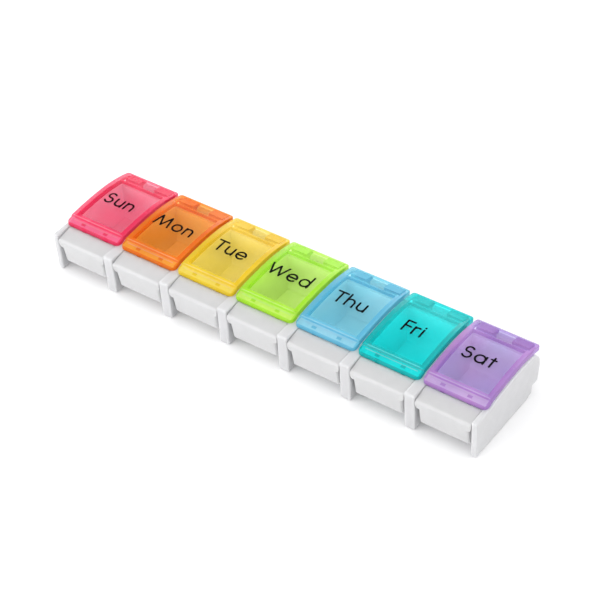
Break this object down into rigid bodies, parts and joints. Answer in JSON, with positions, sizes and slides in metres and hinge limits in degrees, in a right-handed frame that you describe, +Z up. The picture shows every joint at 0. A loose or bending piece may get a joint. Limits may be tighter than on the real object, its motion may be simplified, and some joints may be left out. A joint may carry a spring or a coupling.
{
  "type": "weekly travel pill organizer",
  "caption": "Row of white pill compartments with translucent tinted lids hinged at the back and rocking push buttons along the front that free each lid.",
  "frame": {"origin": "middle of the footprint, on the surface that the tray stands on", "axes": "+X along the row from the first lid to the last, -Y towards the buttons, +Z up"},
  "size_m": [0.2242, 0.0548, 0.0261],
  "materials": {
    "tray_white": "satin moulded polypropylene",
    "lid_sun": "translucent tinted polypropylene",
    "lid_mon": "translucent tinted polypropylene",
    "lid_tue": "translucent tinted polypropylene",
    "lid_wed": "translucent tinted polypropylene",
    "lid_thu": "translucent tinted polypropylene",
    "lid_fri": "translucent tinted polypropylene",
    "lid_sat": "translucent tinted polypropylene",
    "button_white": "satin moulded polypropylene",
    "pin_steel": "drawn wire",
    "spring_steel": "drawn wire"
  },
  "bodies": {
    "tray": {"base_tray": "tray_white", "hinge_pin_sun": "pin_steel", "hinge_pin_mon": "pin_steel", "hinge_pin_tue": "pin_steel", "hinge_pin_wed": "pin_steel", "hinge_pin_thu": "pin_steel", "hinge_pin_fri": "pin_steel", "hinge_pin_sat": "pin_steel", "button_spring_sun": "spring_steel", "button_spring_mon": "spring_steel", "button_spring_tue": "spring_steel", "button_spring_wed": "spring_steel", "button_spring_thu": "spring_steel", "button_spring_fri": "spring_steel", "button_spring_sat": "spring_steel"},
    "lid_sun": {"lid_sun": "lid_sun"},
    "lid_mon": {"lid_mon": "lid_mon"},
    "lid_tue": {"lid_tue": "lid_tue"},
    "lid_wed": {"lid_wed": "lid_wed"},
    "lid_thu": {"lid_thu": "lid_thu"},
    "lid_fri": {"lid_fri": "lid_fri"},
    "lid_sat": {"lid_sat": "lid_sat"},
    "button_sun": {"button_sun": "button_white"},
    "button_mon": {"button_mon": "button_white"},
    "button_tue": {"button_tue": "button_white"},
    "button_wed": {"button_wed": "button_white"},
    "button_thu": {"button_thu": "button_white"},
    "button_fri": {"button_fri": "button_white"},
    "button_sat": {"button_sat": "button_white"}
  },
  "joints": [
    {"name": "lid_sun_hinge", "type": "hinge", "parent": "tray", "child": "lid_sun", "pos_m": [-0.096, 0.02553, 0.0211], "axis": [-1, 0, 0], "range_deg": [0, 100]},
    {"name": "lid_mon_hinge", "type": "hinge", "parent": "tray", "child": "lid_mon", "pos_m": [-0.064, 0.02553, 0.0211], "axis": [-1, 0, 0], "range_deg": [0, 100]},
    {"name": "lid_tue_hinge", "type": "hinge", "parent": "tray", "child": "lid_tue", "pos_m": [-0.032, 0.02553, 0.0211], "axis": [-1, 0, 0], "range_deg": [0, 100]},
    {"name": "lid_wed_hinge", "type": "hinge", "parent": "tray", "child": "lid_wed", "pos_m": [0, 0.02553, 0.0211], "axis": [-1, 0, 0], "range_deg": [0, 100]},
    {"name": "lid_thu_hinge", "type": "hinge", "parent": "tray", "child": "lid_thu", "pos_m": [0.032, 0.02553, 0.0211], "axis": [-1, 0, 0], "range_deg": [0, 100]},
    {"name": "lid_fri_hinge", "type": "hinge", "parent": "tray", "child": "lid_fri", "pos_m": [0.064, 0.02553, 0.0211], "axis": [-1, 0, 0], "range_deg": [0, 100]},
    {"name": "lid_sat_hinge", "type": "hinge", "parent": "tray", "child": "lid_sat", "pos_m": [0.096, 0.02553, 0.0211], "axis": [-1, 0, 0], "range_deg": [0, 100]},
    {"name": "button_sun_rocker", "type": "hinge", "parent": "tray", "child": "button_sun", "pos_m": [-0.096, -0.01832, 0.01575], "axis": [1, 0, 0], "range_deg": [0, 8], "stiffness_Nm_per_rad": 0.04, "springref_deg": -5.73, "deforming": ["button_spring_sun"]},
    {"name": "button_mon_rocker", "type": "hinge", "parent": "tray", "child": "button_mon", "pos_m": [-0.064, -0.01832, 0.01575], "axis": [1, 0, 0], "range_deg": [0, 8], "stiffness_Nm_per_rad": 0.04, "springref_deg": -5.73, "deforming": ["button_spring_mon"]},
    {"name": "button_tue_rocker", "type": "hinge", "parent": "tray", "child": "button_tue", "pos_m": [-0.032, -0.01832, 0.01575], "axis": [1, 0, 0], "range_deg": [0, 8], "stiffness_Nm_per_rad": 0.04, "springref_deg": -5.73, "deforming": ["button_spring_tue"]},
    {"name": "button_wed_rocker", "type": "hinge", "parent": "tray", "child": "button_wed", "pos_m": [0, -0.01832, 0.01575], "axis": [1, 0, 0], "range_deg": [0, 8], "stiffness_Nm_per_rad": 0.04, "springref_deg": -5.73, "deforming": ["button_spring_wed"]},
    {"name": "button_thu_rocker", "type": "hinge", "parent": "tray", "child": "button_thu", "pos_m": [0.032, -0.01832, 0.01575], "axis": [1, 0, 0], "range_deg": [0, 8], "stiffness_Nm_per_rad": 0.04, "springref_deg": -5.73, "deforming": ["button_spring_thu"]},
    {"name": "button_fri_rocker", "type": "hinge", "parent": "tray", "child": "button_fri", "pos_m": [0.064, -0.01832, 0.01575], "axis": [1, 0, 0], "range_deg": [0, 8], "stiffness_Nm_per_rad": 0.04, "springref_deg": -5.73, "deforming": ["button_spring_fri"]},
    {"name": "button_sat_rocker", "type": "hinge", "parent": "tray", "child": "button_sat", "pos_m": [0.096, -0.01832, 0.01575], "axis": [1, 0, 0], "range_deg": [0, 8], "stiffness_Nm_per_rad": 0.04, "springref_deg": -5.73, "deforming": ["button_spring_sat"]}
  ]
}
